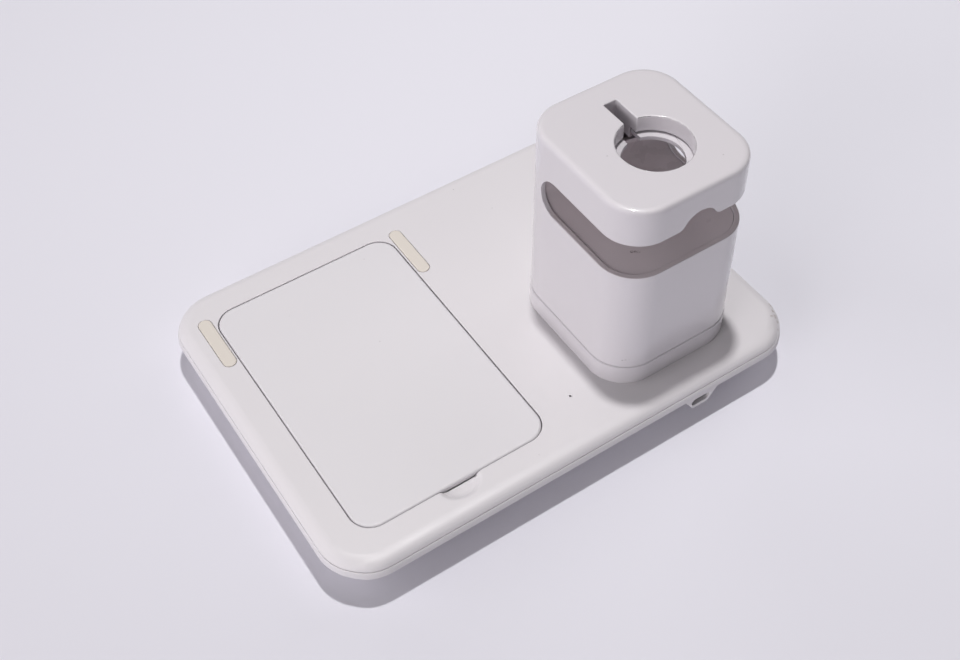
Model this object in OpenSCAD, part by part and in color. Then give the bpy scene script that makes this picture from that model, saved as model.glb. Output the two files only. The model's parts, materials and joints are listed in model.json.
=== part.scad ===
// Desk charging tray with a fold-up phone flap and a hollow tower for a watch puck.
// Origin: on the table under the middle of the tray. Front is -Y, the tower stands at +X.

/* [Tray] */
// Length of the tray, left to right
tray_l = 216; // [214:1:226]
// Width of the tray, near edge to far edge
tray_w = 156; // [154:1:166]
// Corner radius of the tray in plan
tray_r = 20; // [18:0.5:22]
// Height of the tray's top face above the table
tray_h = 22.2; // [21.8:0.2:25]
// Radius of the shoulder round the top face
shoulder_r = 6.5; // [5.5:0.5:7]
// Depth of the parting line below the top face
part_depth = 3.5; // [3.2:0.1:4]
// Depth of the rim's lower edge below the top face
rim_depth = 7; // [6.5:0.5:8]
// How far the sloped underside runs in from the rim
under_run = 13; // [11:0.5:14]
// Wall thickness of the tray mouldings
tray_wall = 2.2; // [1.8:0.1:2.4]

/* [Feet] */
// Radius of a rubber foot
foot_r = 6.5; // [5:0.5:8]
// Height that a foot holds the tray off the table
foot_stand = 1.2; // [0.8:0.1:1.6]

/* [Flap] */
// Length of the flap, left to right
flap_l = 84; // [80:0.5:86]
// Width of the flap, near edge to hinge edge
flap_w = 125; // [120:0.5:127]
// Corner radius of the flap in plan
flap_r = 9; // [8:0.5:10]
// Distance from the tray's left end to the flap's middle
flap_x = 58.3; // [57:0.1:60]
// Middle of the flap, near to far
flap_y = -0.3; // [-1:0.1:1]
// Thickness of the flap's cover
cover_t = 2.4; // [2:0.1:2.6]
// Depth of the whole flap with its inner cover
flap_depth = 7.6; // [7:0.1:8]
// Gap round the sides and near edge of the flap
flap_gap = 0.35; // [0.3:0.05:0.6]
// Gap at the hinge edge of the flap
hinge_gap = 0.5; // [0.45:0.05:0.9]
// Distance from the flap's far edge to the hinge line
hinge_in = 10.8; // [10.5:0.1:11]
// Depth of the hinge line below the top face
hinge_drop = 3; // [2.9:0.05:3.1]
// Radius of a hinge pin
pin_r = 1.25; // [1:0.05:1.3]

/* [Finger notch] */
// Radius of the notch's edge in the top face
notch_r = 9; // [8.5:0.5:10]
// Radius of the notch's flat floor
notch_flat = 4; // [3.5:0.1:5]
// Depth of the notch at the flap's edge
notch_depth = 3.2; // [3:0.1:3.6]

/* [Grip pads] */
// Width of a pad
pad_w = 5.6; // [5:0.1:6]
// Length of a pad with its round ends
pad_len = 28.4; // [24:0.2:32]
// Distance from the flap's side edge to a pad's centre line
pad_off = 3.95; // [3.8:0.05:4.4]
// Middle of the pads, near to far
pad_y = 48.6; // [44:0.2:50]
// How far a pad stands above the top face
pad_proud = 0.2; // [0.1:0.1:0.6]

/* [Tower] */
// Length of the tower's top, left to right
tower_l = 61.4; // [58:0.2:64]
// Width of the tower's top, near to far
tower_w = 66.8; // [64:0.2:70]
// Corner radius of the tower's top in plan
tower_r = 15.4; // [14:0.2:16]
// Height of the tower above the tray
tower_h = 93.9; // [92:0.1:100]
// How much each side grows outward from top to bottom
tower_draft = 1; // [0.6:0.1:1.4]
// Distance from the tray's right end to the tower's middle
tower_x = 54; // [52:0.5:58]
// Middle of the tower, near to far
tower_y = -29; // [-30:0.5:-24]
// Wall thickness of the tower's shell
tower_wall = 2.2; // [2:0.1:2.4]
// Radius of the tower's top edge
tower_edge = 3; // [2:0.5:4]
// Height of the base ring under the seam
ring_h = 9.5; // [8:0.5:12]

/* [Band slot] */
// Height of the slot's lower edge above the tray
slot_low = 60.8; // [58:0.2:62]
// Height of the slot's opening
slot_h = 16.4; // [14:0.2:17]
// Distance from the tower's far face to the slot's round end
slot_back = 14.4; // [14:0.2:16]
// Radius of the arch in the cap's near lower edge
arch_r = 7.9; // [7:0.1:8]
// Radius that blends the arch into the cap's lower edge
arch_blend = 3.6; // [3:0.2:4.4]

/* [Puck seat] */
// Radius of the hole that takes the charging puck
puck_r = 14.5; // [14:0.1:16]
// Depth of the hole's wall
puck_wall = 7; // [6:0.2:8]
// Offset of the hole, arch and socket from the tower's middle
axis_off = 1.5; // [0:0.1:2]
// Distance of the hole's centre toward the near side
puck_off = -5.3; // [-6:0.1:-5]
// Width of the cable slot
cable_w = 5.8; // [4:0.1:6]
// Distance from the hole's centre to the cable slot's square end
cable_run = 27; // [24:0.2:28]
// Inner radius of the ledge ring under the puck
ledge_r = 11.9; // [11:0.1:12.4]

/* [Socket] */
// Width of the socket's opening
port_w = 9.2; // [8.8:0.1:9.6]
// Height of the socket's opening
port_h = 3.5; // [3.3:0.1:3.8]
// Depth of the socket's centre below the top face
port_drop = 10.3; // [10:0.1:10.6]

/* [Hidden] */
$fn = 64;
eps = 0.01;
// Far enough to cut clean through
past = 1;

// Middles of the flap and the tower, left to right
flap_mid = flap_x - tray_l / 2;
tower_mid = tray_l / 2 - tower_x;

tray_white = [0.89, 0.875, 0.885];
flap_white = [0.875, 0.86, 0.875];
tower_white = [0.86, 0.845, 0.87];
liner_grey = [0.72, 0.7, 0.72];
pad_cream = [0.85, 0.82, 0.78];
rubber_grey = [0.45, 0.45, 0.46];
steel = [0.72, 0.73, 0.75];
board_green = [0.1, 0.33, 0.22];
copper = [0.78, 0.47, 0.28];
dark = [0.12, 0.12, 0.13];

// Fits
press_clear = 0.02;
run_clear = 0.05;
seat_clear = 0.1;
hole_clear = 0.2;

// Heights of the tray
top_z = tray_h;
base_z = foot_stand;
floor_z = base_z + tray_wall - 0.2;
ceiling_z = top_z - tray_wall;
part_z = top_z - part_depth;
rim_z = top_z - rim_depth;

// Edge of the tray: distances out from a corner's centre
rim_wall = 5;
lip_w = 1.4;
lip_h = 1.5;
lip_out = tray_r - rim_wall + lip_w;
cavity_out = lip_out + hole_clear;
bevel = 1;
rabbet = 0.3;

// Recess of the flap
recess_l = flap_l + 2 * flap_gap;
recess_w = flap_w + flap_gap + hinge_gap;
recess_y = flap_y + (hinge_gap - flap_gap) / 2;
recess_r = flap_r + flap_gap;
under_gap = 0.8;
tub_z = top_z - flap_depth - under_gap;
tub_t = 2;
hinge_y = flap_y + flap_w / 2 - hinge_in;
hinge_z = top_z - hinge_drop;
swing_r = sqrt(pow(hinge_in, 2) + pow(hinge_drop, 2));
swing_gap = 0.6;
channel_z = hinge_z - swing_r - swing_gap;
channel_near = hinge_y - hinge_in / 2 - swing_gap;
tub_gap = 0.4;

// Hinge
lug_r = hinge_drop - 0.1;
lug_side = 1.2;
lug_len = 7.4;
lug_wall = 0.9;
lug_out = flap_l / 2 - lug_side;
lug_in = lug_out - lug_len;
bush_r = lug_r - lug_wall;
block_len = 6;
block_w = 6.8;
block_drop = 3.6;
pin_end = 0.4;
pin_reach = recess_l / 2 + block_len;

// Flap
flap_edge = 1;
back_inset = 4;
back_near = 9;
back_wall = 1.4;
back_r = flap_r - back_inset;
back_l = flap_l - 2 * back_inset;
back_y0 = flap_y - flap_w / 2 + back_near;
back_y1 = hinge_y - lug_r - 1.6;
back_w = back_y1 - back_y0;
back_y = (back_y0 + back_y1) / 2;
cover_z = top_z - cover_t;
back_z = top_z - flap_depth;
flap_boss_r = 2.6;
flap_boss_z = cover_z - 2.4;
flap_seat_t = 1.2;
flap_screw_x = back_l / 2 - 6;
flap_screw_y = back_w / 2 - 6;
coil_r = 21;
coil_in = 10;
coil_t = 1.2;
coil_y = -5;
ferrite_w = 46;
ferrite_t = 0.9;
lead_w = 3;
lead_t = 0.6;
lead_side = 1.2;
lead_start = 4;

// Finger notch: its side falls in a soft curve, half hollow and half round
notch_rise = 0.1;
notch_run = (notch_r - notch_flat) / 2;
notch_half = (notch_depth + notch_rise) / 2;
notch_bend = (pow(notch_run, 2) + pow(notch_half, 2)) / (2 * notch_half);
notch_pad_r = notch_r + tray_wall;
notch_y = flap_y - flap_w / 2;

// Grip pads
pad_pocket = 1.2;
pad_edge = 0.4;
pad_gap = 0.15;

// Screws: radius and height of the head, radius of the shank
m3_head_r = 2.7;
m3_head_h = 1.8;
m3_r = 1.5;
m2_head_r = 1.9;
m2_head_h = 1.2;
m2_r = 1;
m2_len = 5;
flap_screw_len = 4.4;
driver_r = 1.1;

// Posts that join the tray mouldings
post_r = 4.2;
boss_r = 3.2;
post_top = base_z + 7.8;
post_seat = base_z + 4.8;
tray_screw_len = 6.5;
tray_screw_depth = past + tray_screw_len - (post_top - post_seat) + 0.4;
post_y = 30;
post_far_in = 18.8;
post_side_in = 19;
post_left_in = 7.7;
post_mid_off = 9.7;
post_far = tray_w / 2 - post_far_in;
post_side = tray_l / 2 - post_side_in;
post_left = flap_mid - flap_l / 2 + post_left_in;
mid_x = flap_mid + flap_l / 2 + post_mid_off;
tray_screw_at = [[post_left, -post_y], [post_left, post_y], [mid_x, -post_far], [mid_x, post_far],
    [post_side, -post_y], [post_side, post_y]];
foot_in = 22;
foot_x = tray_l / 2 - foot_in;
foot_y = tray_w / 2 - foot_in;
foot_sink = 0.6;

// Tower: heights above the table, and radii at a height above the tray
tower_z = top_z + tower_h;
function side_r(h) = tower_r + tower_draft * (1 - h / tower_h);
ring_proud = 0.3;
ring_wall = 2.5;
ring_floor = 2.4;
ring_z = top_z + ring_h;
seam = 0.15;
shell_z = ring_z + seam;
skirt_z = shell_z - 2.6;
skirt_wall = 3.6;
cap_t = 3;
axis_x = tower_mid + axis_off;
puck_y = tower_y + puck_off;
chamfer = 0.4;

// Band slot
slot_z0 = top_z + slot_low;
slot_z1 = slot_z0 + slot_h;
slot_mid = (slot_z0 + slot_z1) / 2;
slot_end_r = slot_h / 2;
slot_end_y = tower_y + tower_w / 2 - slot_back - slot_end_r;
liner_step = 0.5;
liner_t = 1.8;
reach = tower_w;
under_r = puck_r + 5.3;
arch_drop = 2;
arch_z = slot_z1 - arch_drop;
blend_z = slot_z1 + arch_blend;
blend_dx = sqrt(pow(arch_r + arch_blend, 2) - pow(blend_z - arch_z, 2));
blend_top = arch_z + (blend_z - arch_z) * arch_r / (arch_r + arch_blend);

// Collar, ledge and its screws
collar_z = tower_z - puck_wall;
collar_wall = 2;
ledge_gap = 0.4;
ledge_t = 1.8;
ledge_top = collar_z - ledge_gap;
ledge_out = puck_r + 3;
ledge_screw_r = puck_r + 4.3;
ledge_tab_r = 3.2;
ledge_boss_r = 2.4;
ledge_screw_at = [-90, 30, 150];
channel_wall = 1.6;
channel_drop = 5;

// Tower screws
tower_post_r = 3.6;
tower_post_foot = 3;
tower_post_out = 7.7;
post_dx = tower_l / 2 - tower_r + tower_post_out;
post_dy = tower_w / 2 - tower_r + tower_post_out;
tower_screw_len = 16;
shelf_w = 2.2;

// Board and socket
port_z = top_z - port_drop;
socket_wall = 0.3;
socket_clear = 0.15;
socket_w = port_w - 2 * socket_clear;
socket_h = port_h - 2 * socket_clear;
socket_len = 7.6;
socket_back = 0.7;
tongue_w = 6.6;
tongue_t = 0.7;
chip_w = 7;
face_y = -tray_w / 2 + 0.2;
bump_flat = 3.7;
bump_run = 6;
bump_drop = 7;
bump_z = rim_z - bump_drop;
bump_wall = 2;
bump_len = 16;
board_t = 1;
board_top = port_z - socket_h / 2;
board_z = board_top - board_t;
board_gap = 3.6;
board_right = 24;
board_near = 9.5;
board_w = 44.5;
board_x0 = mid_x + board_gap;
board_x1 = tower_mid + board_right;
board_y0 = board_near - tray_w / 2;
board_y1 = board_y0 + board_w;
nose_w = 12;
nose_y = face_y + bump_wall + 0.4;
standoff_r = 2.6;
board_screw_in = 6;
board_screw_near = 8;
board_screw_far = 5;
board_screw_left = 14;
board_screw_y0 = board_y0 + board_screw_near;
board_screw_y1 = board_y1 - board_screw_far;
board_screw_at = [[board_x0 + board_screw_in, board_screw_y1], [board_x1 - board_screw_in, board_screw_y1],
    [board_x0 + board_screw_left, board_screw_y0], [board_x1 - board_screw_in, board_screw_y0]];
chip_off = 8;
chip_row = 20;
cap_row = 29.5;
coil_row = 37;
coil_start = 16;
coil_pitch = 9;
chip_x = axis_x - chip_off;
chip_y = board_y0 + chip_row;
cap_y = board_y0 + cap_row;
coil_x = board_x0 + coil_start;
coil_row_y = board_y0 + coil_row;
led_off = 0.3;
led_near = 24.1;
led_x = (flap_mid + flap_l / 2 + tower_mid - tower_l / 2) / 2 + led_off;
led_y = led_near - tray_w / 2;
led_h = 0.7;
led_post = 6;
guide_r = 1.2;
guide_tip_r = 0.3;
guide_step = ceiling_z + 0.6;
pinhole_r = 0.45;

// Rounded rectangle in plan
module rounded_rect(l, w, r) {
    square([l, w - 2 * r], center = true);
    square([l - 2 * r, w], center = true);
    for (x = [-1, 1], y = [-1, 1])
        translate([x * (l / 2 - r), y * (w / 2 - r)]) circle(r);
}

// Plate with round corners, standing on z
module plate(l, w, r, z, h) {
    translate([0, 0, z]) linear_extrude(h) rounded_rect(l, w, r);
}

// Body with round corners whose edge follows a profile.
// The profile's x runs out from a corner's centre and its y is the height.
module edged_body(l, w, r, z0, z1) {
    cx = l / 2 - r;
    cy = w / 2 - r;
    centres = [[cx, cy], [-cx, cy], [-cx, -cy], [cx, -cy]];
    translate([-cx, -cy, z0]) cube([2 * cx, 2 * cy, z1 - z0]);
    for (i = [0 : 3])
        translate(centres[i]) rotate([0, 0, 90 * i]) {
            rotate_extrude(angle = 90) children();
            rotate([90, 0, 0]) linear_extrude(i % 2 == 0 ? 2 * cy : 2 * cx) children();
        }
}

// Screw with a six-sided recess; its head's seat is at the origin and its shank points up
module screw(head_r, head_h, shank_r, len) {
    difference() {
        union() {
            translate([0, 0, -head_h]) cylinder(h = head_h, r = head_r, $fn = 32);
            cylinder(h = len, r = shank_r, $fn = 32);
        }
        translate([0, 0, -head_h - eps]) cylinder(h = head_h * 0.6, r = driver_r, $fn = 6);
    }
}

module at_each(places, z = 0) {
    for (p = places) translate([p[0], p[1], z]) children();
}

// Outer edge of the whole tray
module tray_edge() {
    shoulder_z = top_z - shoulder_r;
    flat = tray_r - shoulder_r;
    foot_u = tray_r - under_run;
    translate([0, shoulder_z]) square([flat, shoulder_r]);
    intersection() {
        translate([flat, shoulder_z]) circle(shoulder_r);
        translate([flat, shoulder_z]) square(shoulder_r);
    }
    polygon([[0, base_z], [foot_u - bevel, base_z], [foot_u + bevel, base_z + bevel],
        [tray_r - 0.5, rim_z - 0.4], [tray_r, rim_z], [tray_r, shoulder_z], [0, shoulder_z]]);
}

module top_edge() {
    difference() {
        intersection() {
            tray_edge();
            translate([0, part_z]) square([tray_r, part_depth]);
        }
        square([tray_r - rim_wall, ceiling_z]);
    }
    translate([tray_r - rim_wall, part_z - lip_h]) square([lip_w, lip_h + eps]);
}

// Hollow of the lower moulding
module cavity_edge() {
    foot_u = tray_r - under_run;
    slope = (rim_z - base_z) / under_run;
    wall_shift = tray_wall * 1.35;
    polygon([[0, floor_z], [foot_u - 1.2, floor_z], [cavity_out, floor_z + (cavity_out - foot_u) * slope
        + wall_shift], [cavity_out, part_z + past], [0, part_z + past]]);
}

module bottom_edge() {
    difference() {
        intersection() {
            tray_edge();
            translate([0, base_z]) square([tray_r, part_z - base_z]);
        }
        translate([tray_r - 1.4, part_z - rabbet]) square([2, rabbet + past]);
    }
}

module flap_recess() {
    translate([flap_mid, recess_y, 0]) {
        intersection() {
            plate(recess_l, recess_w, recess_r, channel_z, top_z);
            union() {
                translate([-tray_l, -tray_w, tub_z]) cube([2 * tray_l, 2 * tray_w, top_z]);
                translate([-tray_l, channel_near - recess_y, channel_z]) cube([2 * tray_l, tray_w, top_z]);
            }
        }
    }
}

// Walls and floor that hold the flap's recess, deeper under the hinge edge, or a body grown round them
module tub_walls(grow) {
    wall = tub_t + grow;
    tub_l = recess_l + 2 * wall;
    tub_w = recess_w + 2 * wall;
    translate([flap_mid, recess_y, 0]) {
        plate(tub_l, tub_w, recess_r + wall, tub_z - wall, ceiling_z - tub_z + wall + eps);
        intersection() {
            plate(tub_l, tub_w, recess_r + wall, channel_z - wall, ceiling_z - channel_z);
            translate([-tray_l, channel_near - wall - recess_y, 0]) cube([2 * tray_l, tray_w, tray_h]);
        }
    }
}

// Section of the finger notch, from its middle outward, with the top face at zero
module notch_section() {
    translate([0, -notch_depth]) square([notch_flat, notch_depth]);
    intersection() {
        translate([notch_flat, notch_bend - notch_depth]) circle(notch_bend);
        translate([notch_flat, -notch_depth]) square([notch_run, notch_half]);
    }
    difference() {
        translate([0, notch_half - notch_depth]) square([notch_r, notch_half + past]);
        translate([notch_r, notch_rise - notch_bend]) circle(notch_bend);
    }
}

module at_pads() {
    for (s = [-1, 1])
        translate([flap_mid + s * (flap_l / 2 + pad_off), pad_y, 0]) children();
}

module at_hinges() {
    for (s = [-1, 1])
        translate([flap_mid, hinge_y, hinge_z]) rotate([0, 90 * s, 0]) children();
}

// Upper moulding: top face, shoulder, flap recess, notch and pockets
module tray_top_shell() {
    color(tray_white)
    difference() {
        union() {
            edged_body(tray_l, tray_w, tray_r, ceiling_z, top_z) top_edge();
            tub_walls(0);
            translate([flap_mid, notch_y, ceiling_z - notch_depth])
                cylinder(h = notch_depth + eps, r = notch_pad_r);
            for (s = [-1, 1])
                translate([flap_mid + s * (recess_l + block_len) / 2, hinge_y, hinge_z - block_drop])
                    linear_extrude(ceiling_z - hinge_z + block_drop + eps)
                        square([block_len, block_w], center = true);
            at_each(tray_screw_at, post_top) cylinder(h = ceiling_z - post_top + eps, r = boss_r);
            translate([led_x, led_y, ceiling_z - led_post]) cylinder(h = led_post + eps, r = 2 * guide_r);
        }
        flap_recess();
        translate([flap_mid, notch_y, top_z]) rotate_extrude() notch_section();
        at_pads() translate([0, 0, top_z - pad_pocket]) linear_extrude(pad_pocket + past)
            rotate(90) stadium(pad_len + 2 * pad_gap, pad_w + 2 * pad_gap);
        at_hinges() cylinder(h = pin_reach, r = pin_r + press_clear);
        at_each(tray_screw_at, post_top - past) cylinder(h = tray_screw_depth, r = m3_r + press_clear);
        translate([led_x, led_y, 0]) {
            cylinder(h = guide_step, r = guide_r + run_clear);
            cylinder(h = top_z + past, r = pinhole_r);
        }
        tower_screw_places(0) cylinder(h = top_z + past, r = m3_r + hole_clear);
    }
}

module tower_screw_places(z) {
    for (x = [-1, 1], y = [-1, 1])
        translate([tower_mid + x * post_dx, tower_y + y * post_dy, z]) children();
}

// Outline of the bump under the near rim that holds the socket
module bump_outline() {
    soft = 2;
    rim_half = bump_flat + bump_run + 2 * soft;
    intersection() {
        offset(r = -soft, $fn = 32) offset(delta = soft) {
            translate([-2 * rim_half, rim_z]) square([4 * rim_half, 2 * soft]);
            offset(r = soft, $fn = 32) offset(delta = -soft)
                polygon([[-bump_flat, bump_z], [bump_flat, bump_z], [bump_flat + bump_run, rim_z + soft],
                    [-bump_flat - bump_run, rim_z + soft]]);
        }
        translate([-rim_half, bump_z]) square([2 * rim_half, bump_drop + 1.5]);
    }
}

module stadium(w, h) {
    square([w - h, h], center = true);
    for (x = [-1, 1]) translate([x * (w - h) / 2, 0]) circle(h / 2);
}

// Prism along Y, from y0 to y1, of an outline drawn in x and z
module along_y(y0, y1) {
    translate([0, y1, 0]) rotate([90, 0, 0]) linear_extrude(y1 - y0) children();
}

// Lower moulding: sloped underside, screw posts, board standoffs and the socket's bump
module tray_bottom_shell() {
    color(tray_white)
    difference() {
        union() {
            difference() {
                union() {
                    edged_body(tray_l, tray_w, tray_r, base_z, part_z) bottom_edge();
                    translate([axis_x, 0, 0]) along_y(face_y, face_y + bump_len) bump_outline();
                }
                edged_body(tray_l, tray_w, tray_r, floor_z, part_z + past) cavity_edge();
                tub_walls(tub_gap);
            }
            at_each(tray_screw_at, base_z) cylinder(h = post_top - base_z, r = post_r);
            at_each(board_screw_at, base_z) cylinder(h = board_z - base_z, r = standoff_r);
        }
        translate([axis_x - nose_w / 2 - 0.3, face_y + bump_wall, board_z])
            cube([nose_w + 0.6, bump_len, rim_z - board_z]);
        translate([axis_x, 0, port_z]) along_y(face_y - past, face_y + bump_len) stadium(port_w, port_h);
        at_each(tray_screw_at, base_z - past) {
            cylinder(h = post_seat - base_z + past, r = m3_head_r + hole_clear);
            cylinder(h = post_top, r = m3_r + hole_clear);
        }
        at_each(board_screw_at, floor_z) cylinder(h = board_z, r = m2_r + press_clear);
        for (x = [-1, 1], y = [-1, 1])
            translate([x * foot_x, y * foot_y, base_z - past]) cylinder(h = past + foot_sink, r = foot_r);
    }
}

module tray_screws() {
    color(steel) at_each(tray_screw_at, post_seat) screw(m3_head_r, m3_head_h, m3_r, tray_screw_len);
}

module rubber_feet() {
    round_edge = 0.4;
    color(rubber_grey)
    for (x = [-1, 1], y = [-1, 1])
        translate([x * foot_x, y * foot_y, 0]) {
            cylinder(h = round_edge, r1 = foot_r - round_edge, r2 = foot_r);
            translate([0, 0, round_edge]) cylinder(h = base_z + foot_sink - round_edge, r = foot_r);
        }
}

// One stadium pad with a softened top edge
module grip_pad() {
    run = pad_len - pad_w;
    for (y = [-1, 1]) translate([0, y * run / 2, 0]) rotate_extrude() pad_section();
    for (a = [0, 180]) rotate([0, 0, a]) along_y(-run / 2, run / 2) pad_section();
}

module pad_section() {
    pad_z = top_z - pad_pocket;
    pad_top = top_z + pad_proud;
    pad_half = pad_w / 2;
    translate([0, pad_z]) square([pad_half, pad_top - pad_z - pad_edge]);
    translate([0, pad_z]) square([pad_half - pad_edge, pad_top - pad_z]);
    translate([pad_half - pad_edge, pad_top - pad_edge]) circle(pad_edge);
}

module left_grip_pad() {
    color(pad_cream) translate([flap_mid - flap_l / 2 - pad_off, pad_y, 0]) grip_pad();
}

module right_grip_pad() {
    color(pad_cream) translate([flap_mid + flap_l / 2 + pad_off, pad_y, 0]) grip_pad();
}

// Circuit board with a nose that reaches into the socket's bump
module main_board() {
    color(board_green)
    difference() {
        translate([0, 0, board_z]) linear_extrude(board_t) {
            translate([board_x0, board_y0]) square([board_x1 - board_x0, board_y1 - board_y0]);
            translate([axis_x - nose_w / 2, nose_y]) square([nose_w, board_y0 - nose_y + eps]);
        }
        at_each(board_screw_at, board_z - past) cylinder(h = board_t + 2 * past, r = m2_r + hole_clear);
    }
}

module board_screws() {
    color(steel)
    at_each(board_screw_at, board_top) mirror([0, 0, 1]) screw(m2_head_r, m2_head_h, m2_r, m2_len);
}

// Metal shell of the socket
module usb_socket() {
    socket_y = face_y + socket_back;
    color(steel)
    translate([axis_x, 0, port_z])
        difference() {
            along_y(socket_y, socket_y + socket_len) stadium(socket_w, socket_h);
            along_y(socket_y - past, socket_y + socket_len - 1)
                stadium(socket_w - 2 * socket_wall, socket_h - 2 * socket_wall);
        }
}

module usb_tongue() {
    tongue_y = face_y + socket_back + 0.8;
    color(dark)
    translate([axis_x, 0, port_z])
        along_y(tongue_y, face_y + socket_back + socket_len - 1) square([tongue_w, tongue_t], center = true);
}

module usb_contacts() {
    contact_w = 0.3;
    contact_t = 0.1;
    contact_y = face_y + socket_back + 1.2;
    contact_len = 3.8;
    pitch = 0.5;
    color(copper)
    for (i = [-5.5 : 1 : 5.5], s = [-1, 1])
        translate([axis_x + i * pitch, 0, port_z + s * (tongue_t + contact_t) / 2])
            along_y(contact_y, contact_y + contact_len) square([contact_w, contact_t], center = true);
}

module controller_chip() {
    chip_t = 1;
    lead_out = 0.9;
    lead_wide = 0.4;
    lead_thick = 0.3;
    color(dark)
    translate([chip_x, chip_y, board_top]) {
        translate([-chip_w / 2, -chip_w / 2, 0]) cube([chip_w, chip_w, chip_t]);
        for (i = [-2.5 : 1 : 2.5], a = [0, 90, 180, 270])
            rotate([0, 0, a]) translate([i - lead_wide / 2, chip_w / 2 - eps, 0])
                cube([lead_wide, lead_out, lead_thick]);
    }
}

// Two shielded inductors
module power_inductors() {
    block = 7;
    block_h = 3.4;
    boss_h = 0.4;
    color(dark)
    for (i = [0, 1])
        translate([coil_x + coil_pitch * i, coil_row_y, 0]) {
            plate(block, block, 1, board_top, block_h);
            translate([0, 0, board_top + block_h]) cylinder(h = boss_h, r = block / 3, $fn = 32);
        }
}

// Row of film capacitors
module resonant_capacitors() {
    pitch = 3.5;
    cap_w = 2.4;
    cap_len = 5;
    cap_h = 2.6;
    color(pad_cream)
    for (i = [0 : 3])
        translate([axis_x + pitch * i, cap_y, 0]) plate(cap_w, cap_len, 0.4, board_top, cap_h);
}

module status_led() {
    color("white") translate([led_x, led_y, board_top + led_h / 2]) cube([1.6, 0.8, led_h], center = true);
}

// Clear pin from the light to the pinhole
module light_guide() {
    color([0.9, 0.92, 0.95])
    translate([led_x, led_y, 0]) {
        translate([0, 0, board_top + led_h + 0.3])
            cylinder(h = guide_step - board_top - led_h - 0.3, r = guide_r, $fn = 32);
        translate([0, 0, guide_step - eps]) cylinder(h = top_z - guide_step - 0.1, r = guide_tip_r, $fn = 24);
    }
}

// Flat lead that drops from the board, runs over the floor and rises to the hinge block
module board_lead() {
    lead_x = flap_mid + recess_l / 2 + tub_t + lead_side;
    start_x = board_x0 + board_screw_in + lead_start;
    start_y = board_y1 - lead_w / 2;
    color(dark) {
        translate([start_x, start_y, floor_z]) cube([lead_t, lead_w, board_z - floor_z]);
        translate([lead_x, start_y, floor_z]) cube([start_x - lead_x + lead_t, lead_w, lead_t]);
        translate([lead_x, start_y, floor_z]) cube([lead_w, hinge_y - start_y, lead_t]);
        translate([lead_x, hinge_y - lead_t, floor_z])
            cube([lead_w, lead_t, hinge_z - block_drop - floor_z]);
    }
}

module hinge_pins() {
    color(steel)
    at_hinges() translate([0, 0, lug_in - pin_end]) cylinder(h = pin_reach - lug_in, r = pin_r);
}

// Base ring of the tower, proud of the shell above the seam
module tower_foot() {
    foot_low = side_r(0) + ring_proud;
    foot_high = side_r(ring_h) + ring_proud;
    edge = 0.5;
    color(tower_white)
    difference() {
        translate([tower_mid, tower_y, 0])
            edged_body(tower_l, tower_w, tower_r, top_z, top_z + ring_floor) {
                difference() {
                    polygon([[0, top_z], [foot_low, top_z], [foot_high, ring_z - edge],
                        [foot_high - edge, ring_z], [0, ring_z]]);
                    translate([0, top_z + ring_floor]) square([foot_high - ring_wall, ring_h]);
                }
            }
        tower_screw_places(top_z - past) cylinder(h = ring_floor + 2 * past, r = m3_r + hole_clear);
    }
}

// Solid of the tower's outside, from the seam's skirt to the top face
module shell_outside() {
    low = side_r(ring_h);
    skirt_out = low + ring_proud - ring_wall - seat_clear;
    translate([tower_mid, tower_y, 0])
        edged_body(tower_l, tower_w, tower_r, skirt_z, tower_z) {
            polygon([[0, skirt_z], [skirt_out, skirt_z], [skirt_out, shell_z], [low, shell_z],
                [tower_r, tower_z - tower_edge], [tower_r - tower_edge, tower_z - tower_edge],
                [tower_r - tower_edge, tower_z], [0, tower_z]]);
            translate([tower_r - tower_edge, tower_z - tower_edge]) circle(tower_edge);
        }
}

// Hollow of the tower, or a body that fits inside it with a clearance
module shell_inside(clear, z0, z1) {
    low = side_r(ring_h);
    skirt_in = low - skirt_wall - clear;
    band = 2.2;
    translate([tower_mid, tower_y, 0])
        edged_body(tower_l, tower_w, tower_r, z0, z1)
            intersection() {
                polygon([[0, skirt_z - past], [skirt_in, skirt_z - past], [skirt_in, shell_z + band],
                    [low - tower_wall - clear, shell_z + 2 * band],
                    [tower_r - tower_wall - clear, tower_z], [0, tower_z]]);
                translate([0, z0]) square([2 * tower_r, z1 - z0]);
            }
}

// Outline of the band slot in y and z, grown outward all round
module slot_outline(grow) {
    r = slot_end_r + grow;
    translate([slot_end_y, slot_mid]) circle(r);
    translate([slot_end_y - reach, slot_mid - r]) square([reach, 2 * r]);
}

// Prism along X over the tower's length, of an outline drawn in y and z
module along_x(len) {
    translate([-len / 2, 0, 0]) rotate([90, 0, 90]) linear_extrude(len) children();
}

// Arch in the cap's near lower edge, blended into it on both sides
module arch_outline() {
    translate([0, arch_z]) circle(arch_r);
    difference() {
        translate([-blend_dx, slot_z1 - past]) square([2 * blend_dx, blend_top - slot_z1 + past]);
        for (x = [-1, 1]) translate([x * blend_dx, blend_z]) circle(arch_blend);
    }
}

module cable_cut(z0, z1) {
    translate([axis_x - cable_w / 2, puck_y, z0]) cube([cable_w, cable_run, z1 - z0]);
}

// Walls of the cable slot under the cap, deeper beyond the ledge
module cable_walls() {
    half = cable_w / 2 + channel_wall;
    deep_y = ledge_out + hole_clear;
    far_y = cable_run + channel_wall;
    translate([axis_x - half, puck_y, collar_z]) cube([2 * half, far_y, puck_wall - cap_t / 2]);
    translate([axis_x - half, puck_y + deep_y, collar_z - channel_drop])
        cube([2 * half, far_y - deep_y, channel_drop + eps]);
}

module at_ledge_screws(z) {
    for (a = ledge_screw_at)
        translate([axis_x, puck_y, z]) rotate([0, 0, a]) translate([ledge_screw_r, 0, 0]) children();
}

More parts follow.
